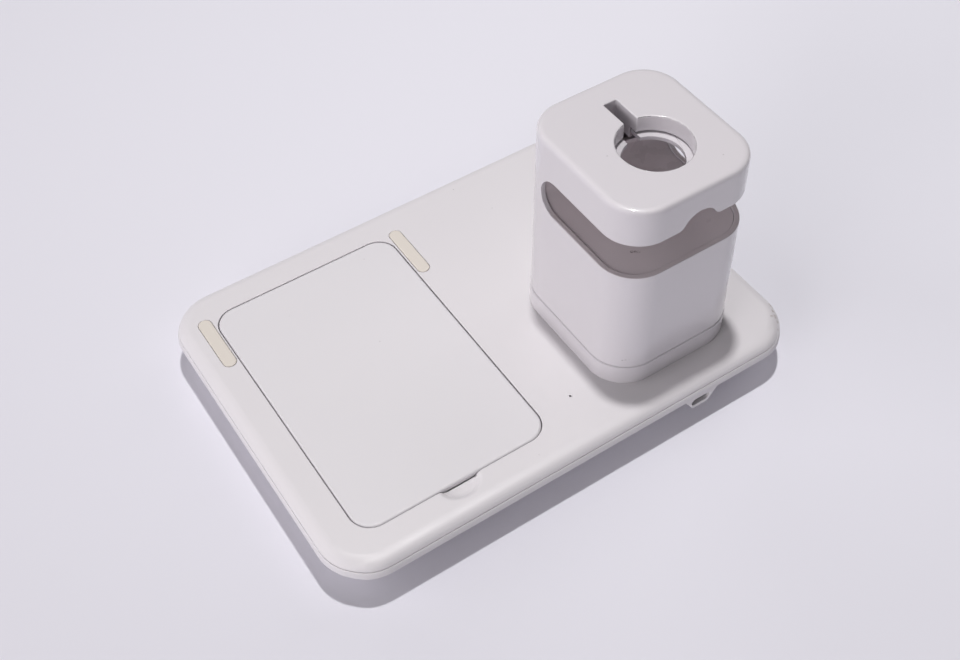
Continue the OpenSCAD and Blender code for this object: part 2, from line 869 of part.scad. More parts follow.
// Outer moulding of the tower: drafted walls, cap, band slot, arch, puck hole and screw posts
module tower_shell() {
    ceiling = tower_z - cap_t;
    ring_seat = top_z + ring_floor;
    liner_low = slot_z0 - liner_step - liner_t;
    color(tower_white)
    difference() {
        union() {
            difference() {
                shell_outside();
                shell_inside(0, skirt_z - past, ceiling);
            }
            translate([axis_x, puck_y, collar_z]) cylinder(h = puck_wall - eps, r = puck_r + collar_wall);
            at_ledge_screws(ledge_top) cylinder(h = tower_z - cap_t - ledge_top + eps, r = ledge_boss_r);
            tower_screw_places(ring_seat) cylinder(h = liner_low - ring_seat, r = tower_post_foot);
            tower_screw_places(shell_z) cylinder(h = liner_low - shell_z, r = tower_post_r);
            intersection() {
                shell_inside(-eps, collar_z - channel_drop, ceiling + eps);
                cable_walls();
            }
            for (x = [-1, 1])
                translate([tower_mid + x * (tower_l / 2 - tower_wall - shelf_w / 2 + 0.5), tower_y - 2,
                    liner_low - shelf_w])
                    linear_extrude(shelf_w) square([shelf_w, tower_w / 2], center = true);
        }
        translate([tower_mid, 0, 0]) along_x(2 * tower_l) slot_outline(0);
        translate([axis_x, 0, 0]) along_y(tower_y - tower_w, tower_y) arch_outline();
        translate([axis_x, puck_y, collar_z - past]) cylinder(h = puck_wall + 2 * past, r = puck_r);
        translate([axis_x, puck_y, tower_z - chamfer])
            cylinder(h = chamfer + eps, r1 = puck_r, r2 = puck_r + chamfer);
        cable_cut(collar_z - channel_drop - past, tower_z + past);
        at_ledge_screws(ledge_top - past)
            cylinder(h = past + m2_len - ledge_t + pin_end, r = m2_r + press_clear);
        tower_screw_places(ring_seat - past)
            cylinder(h = past + tower_screw_len, r = m3_r + press_clear);
    }
}

module tower_screws() {
    color(steel) tower_screw_places(ceiling_z) screw(m3_head_r, m3_head_h, m3_r, tower_screw_len);
}

// Lining of the band slot: floor, round back and ceiling, with an opening under the puck
module slot_liner() {
    color(liner_grey)
    difference() {
        intersection() {
            translate([tower_mid, 0, 0]) along_x(tower_l)
                difference() {
                    slot_outline(liner_step + liner_t);
                    slot_outline(liner_step);
                }
            shell_inside(seat_clear, slot_z0 - 2 * liner_t - liner_step, slot_z1 + 2 * liner_t + liner_step);
        }
        translate([axis_x, puck_y, slot_mid]) cylinder(h = slot_h, r = under_r);
        translate([axis_x - arch_r, puck_y - tower_w, slot_mid]) cube([2 * arch_r, tower_w, slot_h]);
        cable_cut(slot_mid, slot_mid + slot_h);
    }
}

// Ring that the puck rests on, cut by the cable slot
module puck_ledge() {
    color(tower_white)
    difference() {
        union() {
            translate([axis_x, puck_y, ledge_top - ledge_t]) cylinder(h = ledge_t, r = ledge_out);
            at_ledge_screws(ledge_top - ledge_t) cylinder(h = ledge_t, r = ledge_tab_r);
        }
        translate([axis_x, puck_y, ledge_top - ledge_t - past]) cylinder(h = ledge_t + 2 * past, r = ledge_r);
        cable_cut(ledge_top - ledge_t - past, ledge_top + past);
        at_ledge_screws(ledge_top - ledge_t - past)
            cylinder(h = ledge_t + 2 * past, r = m2_r + hole_clear);
    }
}

module ledge_screws() {
    color(steel) at_ledge_screws(ledge_top - ledge_t) screw(m2_head_r, m2_head_h, m2_r, m2_len);
}

module at_flap_screws(z) {
    for (x = [-1, 1], y = [-1, 0, 1])
        translate([flap_mid + x * flap_screw_x, back_y + y * flap_screw_y, z]) children();
}

// Visible panel of the flap with its screw bosses and hinge lugs
module flap_cover() {
    flap_screw_hole = 3.4;
    color(flap_white)
    difference() {
        union() {
            translate([flap_mid, flap_y, 0]) edged_body(flap_l, flap_w, flap_r, cover_z, top_z) {
                translate([0, cover_z]) square([flap_r, cover_t - flap_edge]);
                translate([0, cover_z]) square([flap_r - flap_edge, cover_t]);
                translate([flap_r - flap_edge, top_z - flap_edge]) circle(flap_edge);
            }
            at_flap_screws(flap_boss_z) cylinder(h = cover_z - flap_boss_z + eps, r = flap_boss_r);
            at_hinges() translate([0, 0, lug_in]) cylinder(h = lug_out - lug_in, r = lug_r);
        }
        at_hinges() {
            translate([0, 0, lug_in - past]) cylinder(h = lug_len + past, r = bush_r + run_clear);
            translate([0, 0, lug_in]) cylinder(h = lug_len + lug_side + past, r = pin_r + hole_clear);
        }
        at_flap_screws(flap_boss_z - past) cylinder(h = past + flap_screw_hole, r = m2_r + press_clear);
    }
}

// Inner cover behind the coil, a shallow tray with screw seats
module flap_back() {
    head_room = flap_boss_z - flap_seat_t - back_z;
    color(flap_white)
    difference() {
        union() {
            difference() {
                translate([flap_mid, back_y, 0]) plate(back_l, back_w, back_r, back_z, cover_z - back_z);
                translate([flap_mid, back_y, 0]) plate(back_l - 2 * back_wall, back_w - 2 * back_wall,
                    back_r - back_wall, back_z + back_wall, cover_z);
            }
            at_flap_screws(back_z) cylinder(h = flap_boss_z - back_z, r = flap_boss_r + 1);
        }
        at_flap_screws(back_z - past) {
            cylinder(h = past + head_room, r = m2_head_r + hole_clear);
            cylinder(h = cover_z, r = m2_r + hole_clear);
        }
    }
}

module flap_screws() {
    color(steel) at_flap_screws(flap_boss_z - flap_seat_t) screw(m2_head_r, m2_head_h, m2_r, flap_screw_len);
}

// Flat coil with grooves between its bundles of turns
module charging_coil() {
    turns = 5;
    pitch = (coil_r - coil_in) / turns;
    groove = 0.3;
    color(copper)
    translate([flap_mid, coil_y, cover_z - coil_t])
        rotate_extrude($fn = 48)
            difference() {
                translate([coil_in, 0]) square([coil_r - coil_in, coil_t]);
                for (i = [1 : turns - 1])
                    translate([coil_in + i * pitch - groove / 2, -eps]) square([groove, coil_t / 2]);
            }
}

module ferrite_sheet() {
    color(dark)
    translate([flap_mid, coil_y, 0])
        plate(ferrite_w, ferrite_w, 2, cover_z - coil_t - ferrite_t, ferrite_t);
}

// Flat lead from the coil along the cover to the end of the inner cover
module coil_lead() {
    lead_y = coil_y + coil_r;
    color(dark)
    translate([flap_mid - lead_w / 2, lead_y, cover_z - lead_t])
        cube([lead_w, back_y1 - back_wall - lead_y, lead_t]);
}

module hinge_bushes() {
    color([0.3, 0.3, 0.32])
    at_hinges()
        translate([0, 0, lug_in]) difference() {
            cylinder(h = lug_len, r = bush_r);
            translate([0, 0, -past]) cylinder(h = lug_len + 2 * past, r = pin_r + run_clear);
        }
}

tray_top_shell();
tray_bottom_shell();
tray_screws();
rubber_feet();
left_grip_pad();
right_grip_pad();
main_board();
board_screws();
usb_socket();
usb_tongue();
usb_contacts();
controller_chip();
power_inductors();
resonant_capacitors();
status_led();
light_guide();
board_lead();
hinge_pins();
tower_foot();
tower_shell();
tower_screws();
slot_liner();
puck_ledge();
ledge_screws();
flap_cover();
flap_back();
flap_screws();
charging_coil();
ferrite_sheet();
coil_lead();
hinge_bushes();
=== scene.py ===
# %% [markdown]
# # A desk charging station
# This notebook dresses a charging station: a white tray with a fold-up phone flap, and a glossy tower that
# holds a watch puck. The solid model comes in first and stays where it is. Everything after that gives the
# surfaces their finish, adds what the solids are too plain for, and sets up light and camera.

# %% Load the solid model
import json
import math
import bpy
from mathutils import Matrix, Vector


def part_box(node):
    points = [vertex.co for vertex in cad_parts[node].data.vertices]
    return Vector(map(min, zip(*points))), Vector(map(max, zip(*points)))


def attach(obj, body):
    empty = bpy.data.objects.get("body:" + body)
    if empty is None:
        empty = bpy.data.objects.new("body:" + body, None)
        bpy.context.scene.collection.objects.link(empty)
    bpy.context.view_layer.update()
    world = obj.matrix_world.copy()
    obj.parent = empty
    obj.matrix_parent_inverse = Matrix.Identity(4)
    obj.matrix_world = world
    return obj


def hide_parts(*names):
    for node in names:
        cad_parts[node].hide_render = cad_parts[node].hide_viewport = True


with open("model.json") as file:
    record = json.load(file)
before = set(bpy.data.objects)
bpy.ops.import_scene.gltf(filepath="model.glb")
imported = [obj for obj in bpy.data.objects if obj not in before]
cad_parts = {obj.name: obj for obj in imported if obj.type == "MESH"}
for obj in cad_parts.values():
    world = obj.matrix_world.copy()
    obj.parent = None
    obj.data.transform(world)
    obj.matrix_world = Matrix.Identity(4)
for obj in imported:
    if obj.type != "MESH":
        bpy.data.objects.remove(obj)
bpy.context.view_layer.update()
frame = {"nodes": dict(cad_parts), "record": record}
nodes = frame["nodes"]
mm = 0.001

# %% [markdown]
# ## The camera
# The photograph looks down on the tray from the front left, at about fifty degrees. A camera needs a place,
# a direction and a lens. The direction is written as a heading, a height above the horizon and a slight tilt,
# because those are easy to read and to change. The axes of the camera are then built one from the other.

# %% Camera at the photograph's angle
heading = math.radians(-32.201)
height_angle = math.radians(50.263)
tilt = math.radians(-1.463)
camera_place = Vector((-183.67, -293.05, 430.47)) * mm
lens_mm = 48.483
sensor_mm = 36

backward = Vector((math.sin(heading) * math.cos(height_angle),
                   -math.cos(heading) * math.cos(height_angle),
                   math.sin(height_angle)))
level_right = (-backward).cross(Vector((0, 0, 1))).normalized()
level_up = level_right.cross(-backward)
camera_right = level_right * math.cos(tilt) + level_up * math.sin(tilt)
camera_up = level_up * math.cos(tilt) - level_right * math.sin(tilt)

camera_data = bpy.data.cameras.new("photo_camera")
camera_data.lens = lens_mm
camera_data.sensor_fit = "HORIZONTAL"
camera_data.sensor_width = sensor_mm
camera = bpy.data.objects.new("photo_camera", camera_data)
bpy.context.scene.collection.objects.link(camera)
turn = Matrix((camera_right, camera_up, backward)).transposed()
camera.matrix_world = Matrix.Translation(camera_place) @ turn.to_4x4()
bpy.context.scene.camera = camera
print("camera stands", round(camera_place.length, 3), "m from the middle of the tray's foot")

# %% [markdown]
# ## Helpers for materials
# Each finish below is a small node tree. Four helpers keep the trees short: one starts a material with its
# plain numbers on the shader, one finds the shader again, one adds a node, and one joins two sockets. The
# last two take anything that owns a node tree, so they serve the world too.

# %% Start a material and build its tree
thin_coat_roughness = 0.06


def new_finish(name, colour, roughness, coat=0.0, specular=0.5):
    material = bpy.data.materials.new(name)
    material.use_nodes = True
    shader = shader_of(material)
    shader.inputs["Base Color"].default_value = (*colour, 1)
    shader.inputs["Roughness"].default_value = roughness
    shader.inputs["Coat Weight"].default_value = coat
    shader.inputs["Coat Roughness"].default_value = thin_coat_roughness
    shader.inputs["Specular IOR Level"].default_value = specular
    return material


def shader_of(material):
    return material.node_tree.nodes["Principled BSDF"]


def add_node(owner, kind, **settings):
    node = owner.node_tree.nodes.new(kind)
    for key, value in settings.items():
        setattr(node, key, value)
    return node


def join(owner, source, target):
    owner.node_tree.links.new(source, target)


# %% [markdown]
# ## Noise, ranges and mixes
# Three kinds of node come back in every finish: a noise that reads Object coordinates, a range that turns one
# span of numbers into another, and a mix of two colours. Each gets a helper that adds the node, joins what it
# reads and hands back its result.


# %% Add a noise, a range or a mix
def add_noise(material, place, scale, detail):
    noise = add_node(material, "ShaderNodeTexNoise")
    noise.inputs["Scale"].default_value = scale
    noise.inputs["Detail"].default_value = detail
    join(material, place.outputs["Object"], noise.inputs["Vector"])
    return noise.outputs["Fac"]


def add_range(material, source, low, high, new_low=0.0, new_high=1.0, **settings):
    spread = add_node(material, "ShaderNodeMapRange", **settings)
    spread.inputs["From Min"].default_value = low
    spread.inputs["From Max"].default_value = high
    spread.inputs["To Min"].default_value = new_low
    spread.inputs["To Max"].default_value = new_high
    join(material, source, spread.inputs["Value"])
    return spread.outputs["Result"]


def mix_colours(material, amount, first, second):
    mixed = add_node(material, "ShaderNodeMix", data_type="RGBA")
    if isinstance(first, tuple):
        mixed.inputs["A"].default_value = (*first, 1)
    else:
        join(material, first, mixed.inputs["A"])
    mixed.inputs["B"].default_value = (*second, 1)
    join(material, amount, mixed.inputs["Factor"])
    return mixed.outputs["Result"]


# %% [markdown]
# ## Moulded plastic
# A moulding is never one flat colour. Its skin has a very fine grain from the tool, the colour drifts a
# little over a hand's width, and handling leaves faint clouds of rougher skin. A fine noise drives the bump,
# a wide noise moves the colour between two close tones, and a middle noise varies the roughness, so that
# highlights break up softly. All of them read Object coordinates in metres, so their size on the object stays
# true.

# %% Moulded plastic with grain, drift and clouds
drift_scale = 14
cloud_scale = 55
grain_depth = 0.00003
noise_low = 0.3
noise_high = 0.7
smoother = 0.04
rougher = 0.05


def moulded_plastic(name, light, dark, roughness, grain, fineness, coat=0.0):
    material = new_finish(name, light, roughness, coat)
    shader = shader_of(material)
    place = add_node(material, "ShaderNodeTexCoord")
    drift = add_noise(material, place, drift_scale, detail=4)
    join(material, mix_colours(material, drift, light, dark), shader.inputs["Base Color"])
    bump = add_node(material, "ShaderNodeBump")
    bump.inputs["Strength"].default_value = grain
    bump.inputs["Distance"].default_value = grain_depth
    join(material, add_noise(material, place, fineness, detail=2), bump.inputs["Height"])
    join(material, bump.outputs["Normal"], shader.inputs["Normal"])
    clouds = add_noise(material, place, cloud_scale, detail=5)
    spread = add_range(material, clouds, noise_low, noise_high, roughness - smoother, roughness + rougher)
    join(material, spread, shader.inputs["Roughness"])
    return material


def wear_finish(node_name, material):
    mesh = nodes[node_name].data
    mesh.materials.clear()
    mesh.materials.append(material)


# %% The white plastics
# The tray and the flap are satin. The tower is glossy: a clear coat lies over a duller body.
tray_finish = moulded_plastic("tray satin white", (0.748, 0.723, 0.743), (0.723, 0.698, 0.723),
                              roughness=0.42, grain=0.35, fineness=2600)
flap_finish = moulded_plastic("flap satin white", (0.745, 0.725, 0.75), (0.725, 0.705, 0.73),
                              roughness=0.45, grain=0.35, fineness=2600)
tower_finish = moulded_plastic("tower gloss white", (0.70, 0.67, 0.70), (0.685, 0.655, 0.69),
                               roughness=0.42, grain=0.03, fineness=900, coat=1.0)
tower_coat_roughness = 0.1
shader_of(tower_finish).inputs["Coat Roughness"].default_value = tower_coat_roughness
liner_finish = moulded_plastic("slot lining", (0.64, 0.58, 0.6), (0.62, 0.56, 0.58),
                               roughness=0.3, grain=0.1, fineness=1200, coat=0.2)
for name in ("tray_top_shell", "tray_bottom_shell"):
    wear_finish(name, tray_finish)
for name in ("flap_cover", "flap_back"):
    wear_finish(name, flap_finish)
for name in ("tower_shell", "tower_foot", "puck_ledge"):
    wear_finish(name, tower_finish)
wear_finish("slot_liner", liner_finish)
print("plastic finishes:", tray_finish.name, flap_finish.name, tower_finish.name, liner_finish.name)

# %% [markdown]
# ## Rubber, metal and the parts inside
# The rest is small or hidden, and still gets a finish of its own: cream silicone for the pads, grey rubber
# for the feet, plated metal, lacquered copper, green solder mask and dark moulded chips. They are all made
# by the same function as the plastics, and metal only adds its metallic shader.

# %% Finishes of the small parts
pad_finish = moulded_plastic("cream silicone", (0.73, 0.68, 0.62), (0.70, 0.65, 0.59),
                             roughness=0.6, grain=0.5, fineness=1800)
foot_finish = moulded_plastic("grey rubber", (0.17, 0.17, 0.175), (0.14, 0.14, 0.145),
                              roughness=0.75, grain=0.6, fineness=1500)
dark_finish = moulded_plastic("dark moulding", (0.02, 0.02, 0.022), (0.012, 0.012, 0.014),
                              roughness=0.5, grain=0.5, fineness=1800)
bush_finish = moulded_plastic("grey bush", (0.09, 0.09, 0.1), (0.07, 0.07, 0.08),
                              roughness=0.45, grain=0.3, fineness=1500)
board_finish = moulded_plastic("solder mask", (0.02, 0.1, 0.05), (0.015, 0.075, 0.04),
                               roughness=0.3, grain=0.3, fineness=900, coat=0.4)
ceramic_finish = moulded_plastic("pale ceramic", (0.66, 0.6, 0.5), (0.6, 0.55, 0.46),
                                 roughness=0.5, grain=0.3, fineness=1500)
# The light guide is coloured dark, so that the LED's pinhole shows as a dark dot.
pin_finish = moulded_plastic("dark pin", (0.03, 0.03, 0.035), (0.02, 0.02, 0.025),
                             roughness=0.2, grain=0.05, fineness=900, coat=0.2)
ferrite_finish = moulded_plastic("ferrite", (0.03, 0.03, 0.032), (0.02, 0.02, 0.022),
                                 roughness=0.65, grain=0.8, fineness=1200)
print("made:", pad_finish.name, foot_finish.name, dark_finish.name, bush_finish.name)
print("and:", board_finish.name, ceramic_finish.name, pin_finish.name, ferrite_finish.name)


# %% Metals
def plated_metal(name, light, dark, roughness):
    material = moulded_plastic(name, light, dark, roughness, grain=0.3, fineness=1600)
    shader_of(material).inputs["Metallic"].default_value = 1
    return material


steel_finish = plated_metal("plated steel", (0.56, 0.57, 0.58), (0.48, 0.49, 0.5), 0.3)
copper_finish = plated_metal("lacquered copper", (0.72, 0.34, 0.17), (0.6, 0.27, 0.13), 0.35)
contact_finish = plated_metal("gilt contact", (0.7, 0.42, 0.2), (0.55, 0.33, 0.16), 0.3)
print("metals:", steel_finish.name, copper_finish.name, contact_finish.name)

# %% Put them on their parts
small_finishes = {
    pad_finish: ["left_grip_pad", "right_grip_pad"],
    foot_finish: ["rubber_feet"],
    dark_finish: ["usb_tongue", "controller_chip", "power_inductors", "board_lead", "coil_lead"],
    bush_finish: ["hinge_bushes"],
    board_finish: ["main_board"],
    ceramic_finish: ["resonant_capacitors", "status_led"],
    pin_finish: ["light_guide"],
    ferrite_finish: ["ferrite_sheet"],
    steel_finish: ["tray_screws", "board_screws", "usb_socket", "hinge_pins", "tower_screws",
                   "ledge_screws", "flap_screws"],
    copper_finish: ["charging_coil"],
    contact_finish: ["usb_contacts"],
}
for material, names in small_finishes.items():
    for name in names:
        wear_finish(name, material)
bare = [name for name, node in nodes.items()
        if not node.data.materials or not node.data.materials[0].use_nodes]
print("small finishes:", len(small_finishes), "nodes left bare:", bare)

# %% [markdown]
# ## Marks of use
# The tray is clean but not new. Brownish scuffs sit on its right corner, the tower has a short scratch above
# the seam, three dark bits lie on the floor of the band slot, and a few specks of dust lie on the flat faces.
# Each mark is a soft spot in the material: the distance from its middle, broken up by noise, mixes a darker
# colour in.

# %% A mark on a surface
spot_full = 0.55
patch_low = 0.42
patch_high = 0.58


def add_mark(material, place_mm, radius_mm, colour, strength, grain=2500, stretch=(1, 1, 1)):
    base_colour = shader_of(material).inputs["Base Color"]
    before = base_colour.links[0].from_socket
    place = add_node(material, "ShaderNodeTexCoord")
    centre = add_node(material, "ShaderNodeMapping", vector_type="TEXTURE")
    centre.inputs["Location"].default_value = [c * mm for c in place_mm]
    centre.inputs["Scale"].default_value = [radius_mm * mm * c for c in stretch]
    join(material, place.outputs["Object"], centre.inputs["Vector"])
    far = add_node(material, "ShaderNodeVectorMath", operation="LENGTH")
    join(material, centre.outputs["Vector"], far.inputs[0])
    spot = add_range(material, far.outputs["Value"], 1, spot_full)
    broken = add_noise(material, place, grain, detail=6)
    patch = add_range(material, broken, patch_low, patch_high, new_high=strength)
    amount = add_node(material, "ShaderNodeMath", operation="MULTIPLY")
    join(material, spot, amount.inputs[0])
    join(material, patch, amount.inputs[1])
    join(material, mix_colours(material, amount.outputs["Value"], before, colour), base_colour)


# %% Scuffs and specks on the tray and the flap
scuff_brown = (0.25, 0.17, 0.13)
speck_grey = (0.32, 0.29, 0.3)
for place_mm, radius_mm, stretch in (((105.7, -61.7, 20.3), 1.5, (0.7, 1.3, 1)),
                                     ((104.1, -64.6, 20.9), 1.1, (1, 1, 1)),
                                     ((101.4, -66.8, 21.7), 0.9, (1.2, 0.8, 1)),
                                     ((103.0, -67.5, 20.6), 1.4, (0.8, 1.2, 1)),
                                     ((102.4, -69.6, 19.9), 1.0, (1, 1, 1)),
                                     ((99.9, -72.7, 19.5), 0.7, (1.3, 0.8, 1))):
    add_mark(tray_finish, place_mm, radius_mm, scuff_brown, strength=0.75, stretch=stretch)
for place_mm in ((40.4, 50.2, 22.2), (32.6, 69.9, 22.0), (-18, -70, 22.1)):
    add_mark(tray_finish, place_mm, radius_mm=0.45, colour=speck_grey, strength=0.6)
for place_mm in ((-22.4, 55.4, 22.2), (-64.1, 44.8, 22.2), (-40, 12, 22.2)):
    add_mark(flap_finish, place_mm, radius_mm=0.4, colour=speck_grey, strength=0.5)
print("marks on", tray_finish.name, "and", flap_finish.name)

# %% Specks and the scratch on the tower, bits in the band slot
bit_dark = (0.16, 0.13, 0.13)
for place_mm, radius_mm in (((71.7, -52.8, 116.1), 0.5), ((37.2, -30.1, 116.1), 0.45)):
    add_mark(tower_finish, place_mm, radius_mm, speck_grey, strength=0.6)
for place_mm in ((28.4, -59.5, 36.2), (29.3, -60.2, 36.5), (30.1, -60.8, 36.9)):
    add_mark(tower_finish, place_mm, radius_mm=0.6, colour=speck_grey, strength=0.8, grain=1100,
             stretch=(1, 1, 0.5))
for place_mm in ((37.2, -48.3, 82.5), (38.3, -49.1, 82.5), (39.3, -49.7, 82.5)):
    add_mark(liner_finish, place_mm, radius_mm=0.8, colour=bit_dark, strength=0.8, grain=1400)
print("marks on", tower_finish.name, "and", liner_finish.name)

# %% [markdown]
# ## Softer edges
# Every edge of a real moulding is slightly round, and a round edge catches a thin line of light. The solids
# come with sharp edges where a wall meets a hole or a gap. A copy of each visible moulding is merged, its
# flat triangles are dissolved to whole faces, and a narrow bevel goes along the sharp edges. The solid itself
# is left as it is, and the copy takes its place. Large flat faces keep their shading flat, because the
# normals are weighted by the size of the faces that meet.


# %% Copy a moulding, and move some of its points
def copy_moulding(node_name):
    bpy.ops.object.select_all(action="DESELECT")
    piece = nodes[node_name].copy()
    piece.data = nodes[node_name].data.copy()
    piece.name = node_name + "_soft"
    bpy.context.scene.collection.objects.link(piece)
    piece.select_set(True)
    bpy.context.view_layer.objects.active = piece
    return piece


def move_points(piece, move):
    moved = 0
    for point in piece.data.vertices:
        target = move(point.co / mm)
        if target is not None:
            point.co = target * mm
            moved += 1
    return moved


# %% Merge the loose triangles into whole faces
merge_reach = 0.000002
flat_angle = math.radians(0.3)
smooth_angle = math.radians(35)


def make_whole_faces():
    bpy.ops.object.mode_set(mode="EDIT")
    bpy.ops.mesh.select_all(action="SELECT")
    bpy.ops.mesh.remove_doubles(threshold=merge_reach)
    bpy.ops.mesh.dissolve_limited(angle_limit=flat_angle)
    bpy.ops.object.mode_set(mode="OBJECT")
    bpy.ops.object.shade_smooth_by_angle(angle=smooth_angle)


# %% Bevel the sharp edges, or those that carry a weight
corner_angle = math.radians(40)
edge_steps = 2
lip_steps = 3


def bevel_edges(piece, width, steps, method):
    bevel = piece.modifiers.new("edge", "BEVEL")
    bevel.width = width
    bevel.segments = steps
    bevel.limit_method = method
    bevel.angle_limit = corner_angle
    bevel.miter_outer = "MITER_ARC"
    bevel.use_clamp_overlap = False
    bevel.harden_normals = True
    bpy.ops.object.modifier_apply(modifier="edge")


def weigh_lip(mesh, is_lip):
    sharp = mesh.attributes["sharp_edge"].data
    weights = mesh.attributes.new("bevel_weight_edge", "FLOAT", "EDGE").data
    lips = 0
    for edge in mesh.edges:
        ends = [mesh.vertices[v].co / mm for v in edge.vertices]
        if sharp[edge.index].value and is_lip(ends[0]) and is_lip(ends[1]):
            weights[edge.index].value = 1
            lips += 1
    return lips


# %% All the steps for one moulding
face_weight = 80


def soften(node_name, width, move=None, lip_width=0.0, is_lip=None):
    piece = copy_moulding(node_name)
    moved = move_points(piece, move) if move else 0
    make_whole_faces()
    lips = 0
    if is_lip:
        lips = weigh_lip(piece.data, is_lip)
        bevel_edges(piece, lip_width, lip_steps, "WEIGHT")
    bevel_edges(piece, width, edge_steps, "ANGLE")
    level = piece.modifiers.new("level", "WEIGHTED_NORMAL")
    level.keep_sharp = True
    level.weight = face_weight
    bpy.ops.object.modifier_apply(modifier="level")
    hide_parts(node_name)
    print(node_name, "faces:", len(piece.data.polygons), "points moved:", moved, "lip edges:", lips)
    return piece


# %% [markdown]
# ## Small corrections of shape
# The photograph shows a few things that the solids leave plainer. The finger notch is a little wider and
# shallower. The gap behind the flap is narrower at its mouth than below, so that it hardly shows. The near
# shoulder of the tray and the top edge of the cap are fuller: they stay level for longer and end in a tighter
# curve, and the tray's near rim stands a little further out. Each is a rule that takes a point in millimetres
# and gives its new place, or None where the point stays. A value whose name ends in play says how near to a
# line or a level a point has to be to count as on it.

# %% Where the recess and the notch lie
tray_low, tray_high = [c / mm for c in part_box("tray_top_shell")]
flap_low, flap_high = [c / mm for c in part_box("flap_cover")]
middle_x = (flap_low.x + flap_high.x) / 2
middle_y = (flap_low.y + flap_high.y) / 2
half_x = flap_high.x - middle_x
half_y = (flap_high.y - flap_low.y) / 2
flap_round = 9.0
level_play = 0.02
print("flap in mm:", round(2 * half_x, 1), "by", round(2 * half_y, 1))


def smooth(share):
    share = min(max(share, 0), 1)
    return share * share * (3 - 2 * share)


def past_flap(point):
    inner = Vector((max(abs(point.x - middle_x) - half_x + flap_round, 0),
                    max(abs(point.y - middle_y) - half_y + flap_round, 0)))
    return inner.length - flap_round


# %% The finger notch
notch_reach = 9.15
notch_deep = 3.3
notch_play = 0.2
notch_wider = 1.17
notch_flatter = 0.72


def move_notch(point):
    below_top = tray_high.z - point.z
    out = Vector((point.x - middle_x, point.y - flap_low.y))
    if out.length >= notch_reach or out.y >= notch_play or below_top >= notch_deep:
        return None
    wider_x = middle_x + out.x * notch_wider
    if below_top <= level_play:
        return Vector((wider_x, point.y, point.z))
    return Vector((wider_x, point.y, tray_high.z - below_top * notch_flatter))


# %% The near shoulder, and the rim that both halves of the tray share
shoulder_start = -71.5
shoulder_fuller = 0.5
shoulder_haste = 3
part_depth = 3.5
rim_out = 0.7


def shoulder_share(point):
    return (shoulder_start - point.y) / (shoulder_start - tray_low.y)


def move_shoulder(point):
    share = shoulder_share(point)
    below_top = tray_high.z - point.z
    depth_share = min(below_top / part_depth, 1)
    fuller = shoulder_fuller * smooth(shoulder_haste * share) * (1 - depth_share * depth_share)
    return Vector((point.x, point.y - rim_out * smooth(share), tray_high.z - below_top * (1 - fuller)))


def move_bottom(point):
    share = shoulder_share(point)
    if share > 0:
        return Vector((point.x, point.y - rim_out * smooth(share), point.z))
    return None


# %% The mouth of the gap behind the flap, and all the rules for the tray
far_gap_close = 0.3
mouth_from = 0.1
mouth_to = 0.75
lip_reach = 0.65
notch_clear = 1


def move_tray(point):
    in_notch = move_notch(point)
    if in_notch is not None:
        return in_notch
    if shoulder_share(point) > 0:
        return move_shoulder(point)
    far = (point.y - flap_high.y + flap_round) / flap_round
    on_top = tray_high.z - point.z < level_play
    if on_top and far > 0 and mouth_from < past_flap(point) < mouth_to:
        return Vector((point.x, point.y - far_gap_close * min(far, 1), point.z))
    return None


def is_recess_lip(point):
    level = abs(point.z - tray_high.z) < level_play
    return level and past_flap(point) < lip_reach and point.y > flap_low.y + notch_clear


# %% A crisper top edge for the tower's cap
shell_low, shell_high = [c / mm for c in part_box("tower_shell")]
cap_middle = (shell_low + shell_high) / 2
cap_half = Vector((30.7, 33.4))
cap_corner = 15.4
cap_edge = 3.0
cap_play = 0.1
cap_fuller = 0.6


def move_cap(point):
    below_top = shell_high.z - point.z
    out = Vector((max(abs(point.x - cap_middle.x) - cap_half.x + cap_corner, 0),
                  max(abs(point.y - cap_middle.y) - cap_half.y + cap_corner, 0))).length - cap_corner
    on_round = abs(math.hypot(cap_edge + out, cap_edge - below_top) - cap_edge) < cap_play
    if on_round and 0 < below_top < cap_edge:
        depth_share = below_top / cap_edge
        drop = below_top * (1 - cap_fuller * (1 - depth_share * depth_share))
        return Vector((point.x, point.y, shell_high.z - drop))
    return None


# %% Soften the mouldings
tray_edge = 0.25 * mm
tower_edge = 0.35 * mm
flap_edge = 0.15 * mm
plain_edge = 0.2 * mm
soften("tray_top_shell", tray_edge, move_tray, tray_edge, is_recess_lip)
soften("tray_bottom_shell", plain_edge, move_bottom)
soft_tower = soften("tower_shell", tower_edge, move_cap)
for name in ("tower_foot", "slot_liner", "puck_ledge"):
    soften(name, plain_edge)
soft_flap = soften("flap_cover", flap_edge)
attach(soft_flap, "flap")

# %% [markdown]
# ## Faces that lie in shade
# The floor of the band slot is one dull tone out to the very edge. On the solid, the rim
# of that floor belongs to the glossy shell. Its faces inside the slot get the lining's finish, which is put
# in a second material slot of the shell, and the faces are picked by their height and their normal. The ends
# of the cable slot's walls, deep under the cap, get painted shade: a darker colour in a third slot.

# %% Find the slots
# Painted shade: this darker colour stands for the shade deep under the cap, on the ends of the cable slot's
# walls.
painted_shade_finish = moulded_plastic("painted shade lining", (0.3, 0.26, 0.27), (0.28, 0.24, 0.25),
                               roughness=0.5, grain=0.1, fineness=1200)
liner_low, liner_high = [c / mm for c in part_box("slot_liner")]
puck_seat = next(mount for mount in frame["record"]["mounts"] if mount["name"] == "puck_seat")
puck_place = Vector(puck_seat["pos_m"]) / mm
collar_deep = 7.0
collar_play = 0.3
cable_half = 4.8
cable_from = 14
facing_up = 0.9
facing_near = -0.7
print("puck's middle in mm:", [round(c, 1) for c in puck_place])


def is_slot_floor(face):
    return face.normal.z > facing_up and liner_low.z < face.center.z / mm < liner_high.z


def is_cable_end(face):
    middle = face.center / mm
    beside = abs(middle.x - puck_place.x) < cable_half and middle.y > puck_place.y + cable_from
    under_collar = middle.z < shell_high.z - collar_deep + collar_play
    return beside and under_collar and face.normal.y < facing_near
